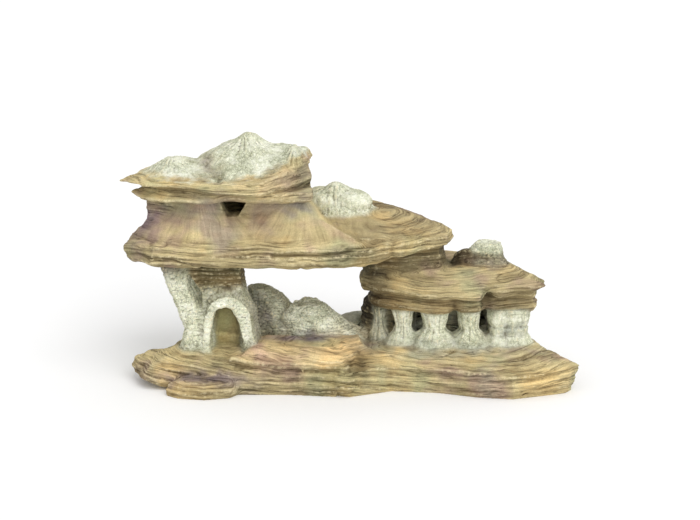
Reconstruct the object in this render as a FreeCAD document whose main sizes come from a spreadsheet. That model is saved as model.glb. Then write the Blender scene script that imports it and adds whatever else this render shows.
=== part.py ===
import FreeCAD, Part
import Sketcher
import math
import os

# Cast-resin cave ornament: eroded sandstone ledges carried on an arch, pillars and a colonnade.
#
# Row frame in millimetres: +X to the right of the front view, +Y to the back, +Z up, with the
# origin on the tank floor under the middle of the ornament.
#
# The ornament is a stack of separate resin castings bonded face to face. Each casting is a
# layered rock: a few level outlines, given in per cent of the casting's half length and half
# depth, lofted between the heights kept in the sheet. Where a rock leans on its neighbour it
# is cut back by it, so that the two share one surface. Cast pegs in sockets locate the
# castings that are stacked level on one another.

DOC = FreeCAD.newDocument("rock_cave")
SHEET = DOC.addObject("Spreadsheet::Sheet", "Sizes")

# Heights above the tank floor of the bonding planes and of the edges between them.
LEVELS = {
    "floor_level": 0,
    "buried_foot": 25,
    "base_bulge": 9,
    "base_groove": 15,
    "base_lip": 22,
    "base_top": 30,
    "step_top": 38,
    "column_top": 62,
    "frieze_moulding": 66,
    "frieze_groove": 71,
    "frieze_top": 77,
    "right_cap_lip": 81,
    "right_cap_edge": 88,
    "right_cap_top": 98,
    "ledge_under": 108,
    "ledge_belly": 112,
    "ledge_lip": 118,
    "ledge_top": 126,
    "shelf_crest": 131,
    "shelf_ridge": 143,
    "facet_top": 146,
    "cave_top": 160,
    "lower_cap_lip": 163,
    "lower_cap_top": 168,
    "upper_cap_lip": 171,
    "upper_cap_top": 180,
    "summit": 210,
}

# Length along X, depth along Y, and centre of each casting.
PLANS = {
    "base_rock": (208, 164, -82, 2),
    "base_slab": (204, 160, 96.5, -4),
    "toe": (66, 32, -123, -68),
    "step": (126, 54, -40, -46),
    "pillar": (28, 28, -140, -30),
    "arch": (56, 46, -103, -16),
    "grotto_wall": (34, 12, -106, -18),
    "rear_pillar": (46, 36, -117, 38),
    "buttress": (50, 56, -64, 16),
    "crater": (86, 44, -19, -3),
    "rear_boulder": (40, 42, 3, 34),
    "flank": (30, 52, 25, 14),
    "core": (128, 56, 86, 12),
    "pier": (38, 28, 138, -20),
    "frieze": (148, 96, 90, 2),
    "right_cap": (160, 114, 88, 0),
    "knob": (34, 34, 121, 3),
    "pebble": (17, 20, 97, 1),
    "spacer": (76, 60, 50, 4),
    "ledge": (282, 122, -49, -1),
    "shelf": (126, 116, 29, 0),
    "dome": (64, 56, -3, 10),
    "cave": (206, 116, -80, -2),
    "lower_cap": (164, 112, -106, 2),
    "upper_cap": (168, 118, -113.5, -3),
    "main_mound": (104, 104, -82, -2),
    "left_mound": (60, 74, -150, -8),
    "right_lobe": (32, 48, -52, -6),
}

# Round columns of the colonnade: foot radius and centre.
COLUMNS = {
    "column_front_1": (7, 27, -8),
    "column_front_2": (12, 47, -19),
    "column_front_3": (15, 73, -26),
    "column_front_4": (13.5, 103, -25),
    "column_rear_1": (12, 44, 36),
    "column_rear_2": (13, 82, 40),
    "column_rear_3": (12, 122, 36),
}
WAIST_RATIO = 0.64
HEAD_RATIO = 0.84

# Sizes of the hollows, the arch and the locating pegs.
FEATURES = {
    "base_hollow_depth": 15,
    "chamber_length": 82,
    "chamber_width": 46,
    "chamber_depth": 28,
    "chamber_x": -92,
    "chamber_y": 6,
    "mouth_x": -97.5,
    "mouth_width": 24,
    "mouth_front": -62,
    "mouth_depth": 14,
    "arch_x": -106,
    "arch_width": 26,
    "arch_spring": 57,
    "arch_face_y": -38,
    "rib_x": -104,
    "rib_width": 44,
    "rib_spring": 58,
    "rib_depth": 8,
    "rib_splay_left": 0,
    "rib_splay_right": 4,
    "peg_radius": 4,
    "peg_height": 5,
    "socket_radius": 4.1,
    "socket_depth": 5.5,
}

# Outlines seen from above, in per cent of half length and half depth, counterclockwise from
# the left.
BOULDER = [(-100, -20), (-66, -74), (6, -100), (72, -68), (100, 8), (62, 76), (-8, 100), (-72, 64)]
PIER = [(-100, -30), (-70, -92), (10, -100), (78, -84), (100, 0), (76, 88), (-12, 100), (-82, 78)]
BASE_ROCK_FOOT = [
    (-77, -39), (-63, -73), (-13, -88), (32, -88), (68, -94), (85, -54),
    (100, -15), (98, 77), (40, 95), (-37, 85), (-58, 39),
]
BASE_ROCK_BULGE = [
    (-100, -44), (-90, -70), (-16, -89), (31, -89), (70, -95), (87, -54),
    (100, -15), (100, 84), (40, 100), (-38, 90), (-60, 27),
]
BASE_ROCK_LIP = [
    (-90, -46), (-81, -63), (-17, -84), (31, -84), (71, -89), (88, -51),
    (100, -15), (100, 77), (40, 95), (-35, 83), (-54, 20),
]
BASE_ROCK_TOP = [
    (-65, -39), (-58, -56), (-19, -66), (31, -70), (69, -70), (85, -51),
    (100, -15), (98, 68), (40, 87), (-31, 73), (-47, 20),
]
BASE_SLAB_EDGE = [
    (-98, -93), (-61, -73), (-21, -79), (13, -94), (41, -100), (90, -79), (99, -68),
    (72, -10), (62, 48), (40, 88), (-14, 100), (-71, 93), (-82, 5),
]
BASE_SLAB_TOP = [
    (-90, -45), (-57, -48), (-20, -52), (10, -58), (35, -58), (63, -45), (69, -38),
    (63, -5), (57, 50), (33, 78), (-14, 88), (-65, 75), (-78, 5),
]
STEP_FOOT = [(-98, -52), (-50, -90), (4, -98), (56, -90), (95, 38), (88, 96), (-82, 96)]
STEP_TOP = [(-54, -8), (-38, -20), (6, -24), (50, -10), (78, 44), (76, 92), (-50, 92)]
ARCH_COLUMN = [(-90, -96), (0, -96), (90, -96), (100, 8), (76, 100), (-76, 100), (-100, 16)]
GROTTO_WALL = [(-100, -100), (100, -100), (92, 60), (10, 100), (-88, 70)]
CORE = [
    (-100, -64), (-64, -89), (-9, -100), (53, -93), (100, -79),
    (97, 21), (45, 93), (-41, 100), (-94, 50),
]
FRIEZE = [
    (-99, -33), (-89, -54), (-65, -79), (-38, -96), (-3, -100), (30, -92), (43, -73),
    (95, -71), (99, -21), (81, 58), (35, 92), (-41, 96), (-84, 67), (-100, 12),
]
RIGHT_CAP_LIP = [
    (-98, -32), (-85, -49), (-62, -67), (-24, -95), (2, -100), (28, -102), (42, -82),
    (86, -63), (90, -35), (78, 32), (35, 88), (-35, 98), (-82, 70), (-100, 18),
]
RIGHT_CAP_EDGE = [
    (-98, -28), (-82, -46), (-60, -60), (-24, -81), (2, -84), (30, -84), (50, -75),
    (98, -74), (100, -42), (80, 25), (35, 81), (-35, 91), (-80, 67), (-99, 18),
]
RIGHT_CAP_TOP = [
    (-85, -14), (-68, -28), (-48, -35), (-22, -35), (2, -32), (28, -28), (48, -26),
    (62, -23), (66, -12), (55, 25), (28, 67), (-35, 77), (-70, 56), (-85, 14),
]
LEDGE_UNDER = [
    (-95, -52), (-79, -87), (-30, -90), (1, -90), (42, -87), (55, -67), (63, -31),
    (67, 2), (63, 54), (49, 87), (-6, 92), (-62, 84), (-90, 34),
]
LEDGE_BELLY = [
    (-99, -56), (-82, -95), (-30, -98), (1, -98), (47, -95), (65, -74), (76, -31),
    (79, 2), (73, 57), (52, 95), (-8, 98), (-65, 90), (-94, 34),
]
LEDGE_LIP = [
    (-100, -56), (-82, -97), (-30, -100), (1, -100), (48, -97), (68, -77), (95, -31),
    (100, 5), (91, 59), (56, 97), (-8, 100), (-65, 92), (-94, 34),
]
LEDGE_TOP = [
    (-99, -54), (-81, -93), (-30, -97), (1, -97), (48, -93), (67, -75), (93, -31),
    (99, 5), (89, 57), (55, 93), (-8, 97), (-64, 89), (-93, 33),
]
SHELF_FOOT = [
    (-93, 0), (-81, -48), (-21, -96), (24, -79), (83, -33),
    (95, 3), (75, 57), (0, 95), (-90, 70),
]
SHELF_CREST = [
    (-93, 3), (-81, -44), (-27, -88), (17, -72), (75, -29),
    (84, 3), (65, 52), (-2, 90), (-90, 68),
]
SHELF_RIDGE = [
    (-92, 34), (-84, 0), (-56, -7), (-24, -3), (8, 3),
    (24, 21), (17, 52), (-14, 79), (-88, 62),
]
CAVE_FOOT = [
    (-100, -43), (-78, -91), (-47, -97), (-10, -98), (39, -98), (93, -95),
    (70, -48), (60, -3), (56, 81), (10, 100), (-57, 93), (-95, 34),
]
CAVE_FACET = [
    (-89, -17), (-73, -41), (-43, -69), (-10, -50), (41, -76), (51, -62),
    (53, -41), (52, -10), (50, 72), (10, 90), (-56, 83), (-83, 28),
]
CAVE_TOP = [
    (-85, -14), (-70, -41), (-43, -55), (-10, -55), (32, -62), (45, -57),
    (45, -38), (44, -10), (42, 66), (10, 83), (-54, 76), (-80, 24),
]
MOUTH = [(-100, 0), (100, 0), (64, -60), (36, -100), (-50, -100), (-82, -50)]
LOWER_CAP = [
    (-99, -25), (-76, -75), (-57, -93), (-26, -96), (0, -89), (29, -93), (61, -100),
    (94, -80), (87, -11), (83, 71), (32, 93), (-41, 82), (-84, 32),
]
LOWER_CAP_TOP = [
    (-80, -23), (-65, -66), (-52, -82), (-24, -89), (0, -84), (29, -88), (61, -95),
    (93, -77), (85, -11), (82, 68), (32, 86), (-39, 77), (-71, 29),
]
UPPER_CAP = [
    (-100, -8), (-70, -76), (-35, -86), (-5, -93), (47, -100), (73, -66),
    (92, -8), (90, 56), (59, 93), (-8, 100), (-77, 53),
]
UPPER_CAP_FOOT = [
    (-65, -8), (-51, -56), (-30, -73), (-4, -83), (45, -90), (71, -61),
    (90, -8), (88, 49), (57, 83), (-5, 86), (-53, 46),
]
UPPER_CAP_TOP = [
    (-79, -8), (-58, -66), (-33, -80), (-4, -86), (46, -92), (71, -63),
    (90, -8), (88, 53), (58, 86), (-8, 93), (-65, 46),
]
MOUND_FOOT = [
    (-100, 42), (-96, -35), (-69, -81), (12, -96), (54, -69),
    (92, -12), (96, 54), (38, 92), (-65, 96),
]
MOUND_MIDDLE = [
    (-88, 31), (-88, -23), (-58, -46), (8, -62), (50, -46),
    (85, -8), (88, 38), (38, 69), (-54, 73),
]
MOUND_HIGH = [
    (-46, 19), (-48, -12), (-35, -19), (4, -31), (31, -23),
    (50, -4), (50, 19), (27, 35), (-31, 38),
]
MOUND_SUMMIT = [
    (-13, 10), (-15, 2), (-12, -4), (-4, -6), (4, -4),
    (8, 2), (8, 8), (2, 12), (-8, 13),
]
LEFT_MOUND_FOOT = [
    (-87, -5), (-33, -78), (27, -95), (80, -86),
    (97, 22), (80, 86), (-7, 95), (-60, 59),
]
LEFT_MOUND_MIDDLE = [
    (-53, -11), (-20, -49), (20, -54), (67, -43),
    (93, 22), (67, 65), (0, 70), (-40, 38),
]
LEFT_MOUND_TOP = [
    (-17, -5), (-7, -16), (7, -19), (23, -14),
    (30, -3), (23, 11), (7, 14), (-10, 8),
]

# Centres of the locating pegs between the castings stacked level on one another.
PEGS = {
    "arch": [(-116, -16)],
    "pillar": [(-150, -28)],
    "rear_pillar": [(-130, 38)],
    "core": [(60, 12), (118, 12)],
    "frieze": [(52, 4), (126, 4)],
    "right_cap": [(121, 3)],
    "ledge": [(-150, 6), (-36, 20)],
    "ledge_right": [(8, 30)],
    "cave": [(-148, 6), (-38, 6)],
    "lower_cap": [(-130, -4), (-60, -4)],
    "upper_cap": [(-84, 0)],
    "upper_cap_left": [(-150, -8)],
}

SIZES = {}
CASTINGS = {}


def fill_sheet():
    """Writes every named size on its own row of the sheet, under its alias."""
    SIZES.update(LEVELS)
    for piece, (length, depth, x, y) in PLANS.items():
        SIZES[f"{piece}_length"] = length
        SIZES[f"{piece}_depth"] = depth
        SIZES[f"{piece}_mid_x"] = x
        SIZES[f"{piece}_mid_y"] = y
    for column, (radius, x, y) in COLUMNS.items():
        SIZES[f"{column}_radius"] = radius
        SIZES[f"{column}_mid_x"] = x
        SIZES[f"{column}_mid_y"] = y
    SIZES.update(FEATURES)
    for row, (alias, value) in enumerate(SIZES.items(), start=1):
        SHEET.set(f"A{row}", alias)
        SHEET.set(f"B{row}", str(value))
        SHEET.setAlias(f"B{row}", alias)
    DOC.recompute()


def mix(constant=0, **terms):
    """A weighted sum of sizes: its value, and the expression that binds it to the sheet."""
    value = constant + sum(SIZES[alias] * weight for alias, weight in terms.items())
    words = [f"{constant:g}"]
    words += [f"Sizes.{alias} * {weight:g}" for alias, weight in terms.items()]
    return value, " + ".join(words)


def new_body(label, plan):
    """A body that stands where the sheet says its plan is centred."""
    body = DOC.addObject("PartDesign::Body", label)
    body.Label = label
    body.setExpression("Placement.Base.x", f"Sizes.{plan}_mid_x")
    body.setExpression("Placement.Base.y", f"Sizes.{plan}_mid_y")
    return body


def new_sketch(body, role, height=None):
    """A sketch on an origin plane of the body, moved out along the plane's normal."""
    sketch = body.newObject("Sketcher::SketchObject", "Outline")
    plane = next(f for f in body.Origin.OriginFeatures if f.Role == role)
    sketch.AttachmentSupport = [(plane, "")]
    sketch.MapMode = "FlatFace"
    if height is not None:
        sketch.setExpression("AttachmentOffset.Base.z", height[1])
    return sketch


def pin(sketch, geometry, end, across, along):
    """Fixes one point of a sketch by two driving distances from its origin."""
    for kind, (value, expression) in (("DistanceX", across), ("DistanceY", along)):
        index = sketch.addConstraint(Sketcher.Constraint(kind, -1, 1, geometry, end, value))
        sketch.setExpression(f"Constraints[{index}]", expression)


def polygon(sketch, corners):
    """A closed polygon. Each corner is a pair of mixes."""
    points = [FreeCAD.Vector(across[0], along[0], 0) for across, along in corners]
    count = len(points)
    sides = [Part.LineSegment(points[i], points[(i + 1) % count]) for i in range(count)]
    sketch.addGeometry(sides)
    rules = [Sketcher.Constraint("Coincident", i, 2, (i + 1) % count, 1) for i in range(count)]
    for i, point in enumerate(points):
        rules.append(Sketcher.Constraint("DistanceX", -1, 1, i, 1, point.x))
        rules.append(Sketcher.Constraint("DistanceY", -1, 1, i, 1, point.y))
    sketch.addConstraint(rules)
    for i, (across, along) in enumerate(corners):
        sketch.setExpression(f"Constraints[{count + 2 * i}]", across[1])
        sketch.setExpression(f"Constraints[{count + 2 * i + 1}]", along[1])


def layer(body, plan, level, outline, spread=(1, 1), shift=(0, 0)):
    """A level outline of a casting, widened by the spread and then moved by the shift."""
    height = mix(**{level: 1}) if isinstance(level, str) else mix(level)
    sketch = new_sketch(body, "XY_Plane", height)
    corners = []
    for x, y in outline:
        across = mix(shift[0], **{f"{plan}_length": round(x * spread[0] / 200, 5)})
        along = mix(shift[1], **{f"{plan}_depth": round(y * spread[1] / 200, 5)})
        corners.append((across, along))
    polygon(sketch, corners)
    return sketch


def rock(label, plan, layers):
    """A casting lofted through its layers."""
    body = new_body(label, plan)
    sketches = [layer(body, plan, *settings) for settings in layers]
    loft = body.newObject("PartDesign::AdditiveLoft", "Rock")
    loft.Profile = sketches[0]
    loft.Sections = sketches[1:]
    loft.Ruled = True
    return body


def keep(label, shape_object):
    """Enters an object as the finished casting of that name."""
    shape_object.Label = label
    CASTINGS[label] = shape_object
    return shape_object


def cut_by(label, body, *neighbours):
    """Enters the body, less each neighbour it leans on, as the finished casting."""
    body.Label = f"{label}_uncut"
    result = body
    for step, neighbour in enumerate(neighbours, start=1):
        cut = DOC.addObject("Part::Cut", f"{label}_less_{step}")
        cut.Base = result
        cut.Tool = neighbour
        result = cut
    return keep(label, result)


def peg_circle(body, plan, level, centre, radius):
    """A circle at a point given in the row frame."""
    sketch = new_sketch(body, "XY_Plane", mix(**{level: 1}))
    across = mix(centre[0], **{f"{plan}_mid_x": -1})
    along = mix(centre[1], **{f"{plan}_mid_y": -1})
    middle = FreeCAD.Vector(across[0], along[0], 0)
    sketch.addGeometry(Part.Circle(middle, FreeCAD.Vector(0, 0, 1), SIZES[radius]))
    pin(sketch, 0, 3, across, along)
    index = sketch.addConstraint(Sketcher.Constraint("Radius", 0, SIZES[radius]))
    sketch.setExpression(f"Constraints[{index}]", f"Sizes.{radius}")
    return sketch


def add_pegs(body, plan, level, joint):
    """Cast locating pegs on the upper face."""
    for centre in PEGS[joint]:
        pad = body.newObject("PartDesign::Pad", "Peg")
        pad.Profile = peg_circle(body, plan, level, centre, "peg_radius")
        pad.setExpression("Length", "Sizes.peg_height")


def add_sockets(body, plan, level, joint):
    """Sockets in the lower face, a little wider and deeper than the pegs."""
    for centre in PEGS[joint]:
        pocket = body.newObject("PartDesign::Pocket", "Socket")
        pocket.Profile = peg_circle(body, plan, level, centre, "socket_radius")
        pocket.Reversed = True
        pocket.setExpression("Length", "Sizes.socket_depth")


def hollow_under(body, plan, outline, spread):
    """Opens the underside of a thick base casting."""
    pocket = body.newObject("PartDesign::Pocket", "Hollow")
    pocket.Profile = layer(body, plan, "floor_level", outline, spread)
    pocket.Reversed = True
    pocket.setExpression("Length", "Sizes.base_hollow_depth")


def arch_outline(sketch, middle, half, spring, foot, splay=((0, "0"), (0, "0"))):
    """A doorway outline: level foot, two jambs and a half-round head."""
    left = (middle[0] - half[0], f"{middle[1]} - ({half[1]})")
    right = (middle[0] + half[0], f"{middle[1]} + ({half[1]})")
    left_foot = (left[0] - splay[0][0], f"{left[1]} - ({splay[0][1]})")
    right_foot = (right[0] + splay[1][0], f"{right[1]} + ({splay[1][1]})")
    crown = FreeCAD.Vector(middle[0], spring[0], 0)
    corners = [(left, spring), (left_foot, foot), (right_foot, foot), (right, spring)]
    points = [FreeCAD.Vector(across[0], along[0], 0) for across, along in corners]
    head = Part.Circle(crown, FreeCAD.Vector(0, 0, 1), half[0])
    sketch.addGeometry(Part.ArcOfCircle(head, 0, math.pi))
    for start, end in zip(points, points[1:]):
        sketch.addGeometry(Part.LineSegment(start, end))
    for side in range(4):
        joined = Sketcher.Constraint("Coincident", side, 2, (side + 1) % 4, 1)
        sketch.addConstraint(joined)
    pin(sketch, 0, 3, middle, spring)
    pin(sketch, 3, 2, right, spring)
    pin(sketch, 1, 2, left_foot, foot)
    pin(sketch, 2, 2, right_foot, foot)
    sketch.addConstraint(Sketcher.Constraint("Horizontal", 0, 3, 0, 2))


def cut_doorway(body, plan):
    """Cuts the arched swim-through right through a body that stands over it."""
    pocket = body.newObject("PartDesign::Pocket", "Doorway")
    sketch = new_sketch(body, "XZ_Plane")
    middle = mix(**{"arch_x": 1, f"{plan}_mid_x": -1})
    foot = mix(-2, buried_foot=1)
    arch_outline(sketch, middle, mix(arch_width=0.5), mix(arch_spring=1), foot)
    pocket.Profile = sketch
    pocket.Midplane = True
    pocket.setExpression("Length", "Sizes.base_slab_depth")


# Base castings.


def make_base_rock():
    body = rock(
        "base_rock_left",
        "base_rock",
        [
            ("floor_level", BASE_ROCK_FOOT),
            ("base_bulge", BASE_ROCK_BULGE),
            ("base_lip", BASE_ROCK_LIP),
            ("base_top", BASE_ROCK_TOP),
        ],
    )
    hollow_under(body, "base_rock", BASE_ROCK_FOOT, (0.8, 0.8))
    keep("base_rock_left", body)


def make_toe_rock():
    body = rock(
        "toe_rock",
        "toe",
        [
            ("floor_level", BOULDER, (0.95, 0.95)),
            (6, BOULDER),
            (13, BOULDER, (0.84, 0.7)),
        ],
    )
    cut_by("toe_rock", body, CASTINGS["base_rock_left"])


def make_front_step():
    body = rock(
        "front_step_rock",
        "step",
        [
            ("base_lip", STEP_FOOT),
            ("base_top", STEP_FOOT, (0.98, 0.98)),
            ("step_top", STEP_TOP),
        ],
    )
    cut_by("front_step_rock", body, CASTINGS["base_rock_left"])


def make_base_slab():
    body = rock(
        "base_slab_right",
        "base_slab",
        [
            ("floor_level", BASE_SLAB_EDGE, (0.97, 0.97)),
            ("base_bulge", BASE_SLAB_EDGE),
            ("base_groove", BASE_SLAB_EDGE, (0.98, 0.975)),
            ("base_lip", BASE_SLAB_EDGE),
            ("base_top", BASE_SLAB_TOP),
        ],
    )
    hollow_under(body, "base_slab", BASE_SLAB_EDGE, (0.78, 0.78))
    cut_by("base_slab_right", body, CASTINGS["base_rock_left"], CASTINGS["front_step_rock"])


# Supports under the left end of the long ledge.


def make_arch_column():
    body = rock(
        "arch_column",
        "arch",
        [
            ("buried_foot", ARCH_COLUMN),
            (60, ARCH_COLUMN, (0.84, 1), (-1, 0)),
            (80, ARCH_COLUMN, (0.68, 1), (-5, 0)),
            (96, ARCH_COLUMN, (0.84, 1), (-11, 0)),
            ("ledge_under", ARCH_COLUMN, (1, 1), (-13, 0)),
        ],
    )
    cut_doorway(body, "arch")
    add_pegs(body, "arch", "ledge_under", "arch")
    cut_by("arch_column", body, CASTINGS["base_rock_left"])


def make_left_pillar():
    body = rock(
        "left_pillar",
        "pillar",
        [
            ("buried_foot", PIER, (1.1, 1.1), (9, 2)),
            (48, PIER, (0.82, 0.82), (10, -1)),
            (66, PIER, (0.76, 0.8), (3, -2)),
            (84, PIER, (0.74, 0.84), (-5, -1)),
            (100, PIER, (0.92, 1), (-9, 1)),
            ("ledge_under", PIER, (1.1, 1.15), (-9, 2)),
        ],
    )
    add_pegs(body, "pillar", "ledge_under", "pillar")
    cut_by("left_pillar", body, CASTINGS["base_rock_left"], CASTINGS["arch_column"])


def make_arch_surround():
    """The raised rib around the doorway, with its right foot splayed on to the step."""
    body = new_body("arch_surround", "arch")
    face = mix(arch_face_y=-1, arch_mid_y=1)
    sketch = new_sketch(body, "XZ_Plane", face)
    arch_outline(
        sketch,
        mix(rib_x=1, arch_mid_x=-1),
        mix(rib_width=0.5),
        mix(rib_spring=1),
        mix(buried_foot=1),
        (mix(rib_splay_left=1), mix(rib_splay_right=1)),
    )
    pad = body.newObject("PartDesign::Pad", "Rib")
    pad.Profile = sketch
    pad.setExpression("Length", "Sizes.rib_depth")
    cut_doorway(body, "arch")
    neighbours = ["base_rock_left", "front_step_rock", "left_pillar", "arch_column"]
    cut_by("arch_surround", body, *[CASTINGS[name] for name in neighbours])


def make_grotto_back_wall():
    body = rock(
        "grotto_back_wall",
        "grotto_wall",
        [
            ("buried_foot", GROTTO_WALL),
            (60, GROTTO_WALL, (0.95, 1)),
            (78, GROTTO_WALL, (0.8, 1)),
        ],
    )
    cut_by(
        "grotto_back_wall", body, CASTINGS["base_rock_left"], CASTINGS["arch_column"]
    )


def make_rear_pillar():
    body = rock(
        "rear_pillar",
        "rear_pillar",
        [
            ("buried_foot", PIER, (1.1, 1.1)),
            (44, PIER, (0.86, 0.86), (-3, 0)),
            (70, PIER, (0.74, 0.74), (-10, 1)),
            (96, PIER, (0.9, 0.9), (-14, 0)),
            ("ledge_under", PIER, (1.1, 1.05), (-14, 0)),
        ],
    )
    add_pegs(body, "rear_pillar", "ledge_under", "rear_pillar")
    neighbours = ["base_rock_left", "grotto_back_wall", "arch_column"]
    cut_by("rear_pillar", body, *[CASTINGS[name] for name in neighbours])


def make_buttress():
    body = rock(
        "buttress_rock",
        "buttress",
        [
            ("buried_foot", BOULDER),
            (50, BOULDER, (0.86, 0.86), (-3, 0)),
            (66, BOULDER, (0.66, 0.66), (-9, -2)),
            (75, BOULDER, (0.46, 0.46), (-14, -4)),
        ],
    )
    neighbours = ["base_rock_left", "arch_column", "grotto_back_wall", "rear_pillar", "arch_surround"]
    cut_by("buttress_rock", body, *[CASTINGS[name] for name in neighbours])


def make_crater_boulder():
    body = rock(
        "crater_boulder",
        "crater",
        [
            ("buried_foot", BOULDER),
            (34, BOULDER, (0.94, 0.96), (-1, 0)),
            (44, BOULDER, (0.66, 0.84), (-10, 0)),
            (54, BOULDER, (0.5, 0.7), (-15, 0)),
            (62, BOULDER, (0.4, 0.56), (-18, 0)),
            (66, BOULDER, (0.32, 0.42), (-18, 0)),
        ],
    )
    neighbours = ["base_rock_left", "front_step_rock", "base_slab_right", "buttress_rock"]
    cut_by("crater_boulder", body, *[CASTINGS[name] for name in neighbours])


# Colonnade under the right-hand slab.


def make_core():
    body = rock(
        "colonnade_core",
        "core",
        [
            ("base_top", CORE),
            (46, CORE, (0.97, 0.94)),
            ("column_top", CORE),
        ],
    )
    add_pegs(body, "core", "column_top", "core")
    keep("colonnade_core", body)


def make_round_column(label):
    """A waisted column, turned, and engaged in the core behind it."""
    body = new_body(label, label)
    sketch = new_sketch(body, "XZ_Plane")
    radius = f"{label}_radius"
    foot = mix(**{radius: 1})
    waist = mix(**{radius: WAIST_RATIO})
    head = mix(**{radius: HEAD_RATIO})
    low, high = mix(base_top=1), mix(column_top=1)
    middle = mix(base_top=0.5, column_top=0.5)
    axis = mix()
    foot_point = FreeCAD.Vector(foot[0], low[0], 0)
    waist_point = FreeCAD.Vector(waist[0], middle[0], 0)
    head_point = FreeCAD.Vector(head[0], high[0], 0)
    low_axis, high_axis = FreeCAD.Vector(0, low[0], 0), FreeCAD.Vector(0, high[0], 0)
    sketch.addGeometry(Part.LineSegment(low_axis, foot_point))
    sketch.addGeometry(Part.LineSegment(foot_point, waist_point))
    sketch.addGeometry(Part.LineSegment(waist_point, head_point))
    sketch.addGeometry(Part.LineSegment(head_point, high_axis))
    sketch.addGeometry(Part.LineSegment(high_axis, low_axis))
    for side in range(5):
        sketch.addConstraint(Sketcher.Constraint("Coincident", side, 2, (side + 1) % 5, 1))
    pin(sketch, 0, 1, axis, low)
    pin(sketch, 0, 2, foot, low)
    pin(sketch, 1, 2, waist, middle)
    pin(sketch, 2, 2, head, high)
    pin(sketch, 3, 2, axis, high)
    turned = body.newObject("PartDesign::Revolution", "Column")
    turned.Profile = sketch
    turned.ReferenceAxis = (sketch, ["V_Axis"])
    turned.Angle = 360
    cut_by(label, body, CASTINGS["colonnade_core"])


def make_end_pier():
    """The squarer pier at the right-hand end, cracked across at half height."""
    body = rock(
        "column_front_5",
        "pier",
        [
            ("base_top", PIER, (1.06, 1.1)),
            (38, PIER, (0.94, 0.96)),
            (45, PIER, (0.98, 1)),
            (47, PIER, (0.88, 0.9)),
            (49, PIER, (0.98, 1)),
            ("column_top", PIER, (0.98, 1)),
        ],
    )
    cut_by("column_front_5", body, CASTINGS["colonnade_core"])


def make_flank_rock():
    body = rock(
        "flank_rock",
        "flank",
        [
            ("base_top", BOULDER, (1.06, 1.02)),
            (40, BOULDER, (0.9, 0.92)),
            (50, BOULDER, (0.98, 0.98)),
            ("column_top", BOULDER, (0.9, 0.94), (2, 0)),
        ],
    )
    neighbours = ["base_rock_left", "colonnade_core", "column_front_1", "column_rear_1"]
    cut_by("flank_rock", body, *[CASTINGS[name] for name in neighbours])


def make_rear_boulder():
    body = rock(
        "rear_boulder",
        "rear_boulder",
        [
            ("buried_foot", BOULDER),
            (31, BOULDER, (0.96, 0.96)),
            (37, BOULDER, (0.78, 0.78), (4, 0)),
            (42, BOULDER, (0.42, 0.42), (9, 0)),
        ],
    )
    neighbours = ["base_rock_left", "base_slab_right", "flank_rock", "colonnade_core", "column_rear_1"]
    cut_by("rear_boulder", body, *[CASTINGS[name] for name in neighbours])


def make_frieze():
    body = rock(
        "frieze",
        "frieze",
        [
            ("column_top", FRIEZE, (0.95, 0.94)),
            ("frieze_moulding", FRIEZE),
            ("frieze_groove", FRIEZE, (0.96, 0.93)),
            ("frieze_top", FRIEZE, (0.98, 0.98)),
        ],
    )
    add_sockets(body, "frieze", "column_top", "core")
    add_pegs(body, "frieze", "frieze_top", "frieze")
    keep("frieze", body)


def make_right_cap():
    body = rock(
        "right_cap",
        "right_cap",
        [
            ("frieze_top", RIGHT_CAP_LIP, (0.98, 0.96)),
            ("right_cap_lip", RIGHT_CAP_LIP),
            ("right_cap_edge", RIGHT_CAP_EDGE),
            ("right_cap_top", RIGHT_CAP_TOP),
        ],
    )
    add_sockets(body, "right_cap", "frieze_top", "frieze")
    add_pegs(body, "right_cap", "right_cap_top", "right_cap")
    keep("right_cap", body)


def make_knob():
    """The small eroded stump on the right-hand slab, with a dished top."""
    body = rock(
        "knob_stump",
        "knob",
        [
            ("right_cap_top", BOULDER, (1.02, 1.02)),
            (103, BOULDER, (0.84, 0.84)),
            (110, BOULDER, (0.86, 0.86), (-2, 0)),
            (117, BOULDER, (0.62, 0.62)),
        ],
    )
    add_sockets(body, "knob", "right_cap_top", "right_cap")
    keep("knob_stump", body)


def make_knob_pebble():
    body = rock(
        "knob_pebble",
        "pebble",
        [
            (96, BOULDER, (1, 1)),
            (103, BOULDER, (0.9, 0.9)),
            (108, BOULDER, (0.5, 0.5)),
        ],
    )
    cut_by("knob_pebble", body, CASTINGS["right_cap"], CASTINGS["knob_stump"])


# Ledges, cave and caps.


def make_long_ledge():
    body = rock(
        "long_ledge",
        "ledge",
        [
            ("ledge_under", LEDGE_UNDER),
            ("ledge_belly", LEDGE_BELLY),
            ("ledge_lip", LEDGE_LIP),
            ("ledge_top", LEDGE_TOP),
        ],
    )
    for joint in ("arch", "pillar", "rear_pillar"):
        add_sockets(body, "ledge", "ledge_under", joint)
    for joint in ("ledge", "ledge_right"):
        add_pegs(body, "ledge", "ledge_top", joint)
    keep("long_ledge", body)


def make_spacer():
    body = rock(
        "ledge_spacer",
        "spacer",
        [
            ("right_cap_edge", PIER, (1.06, 1.04)),
            (102, PIER, (0.98, 0.98)),
            (110, PIER, (0.94, 0.92)),
            ("ledge_lip", PIER, (0.95, 0.95)),
        ],
    )
    cut_by("ledge_spacer", body, CASTINGS["right_cap"], CASTINGS["long_ledge"])


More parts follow.
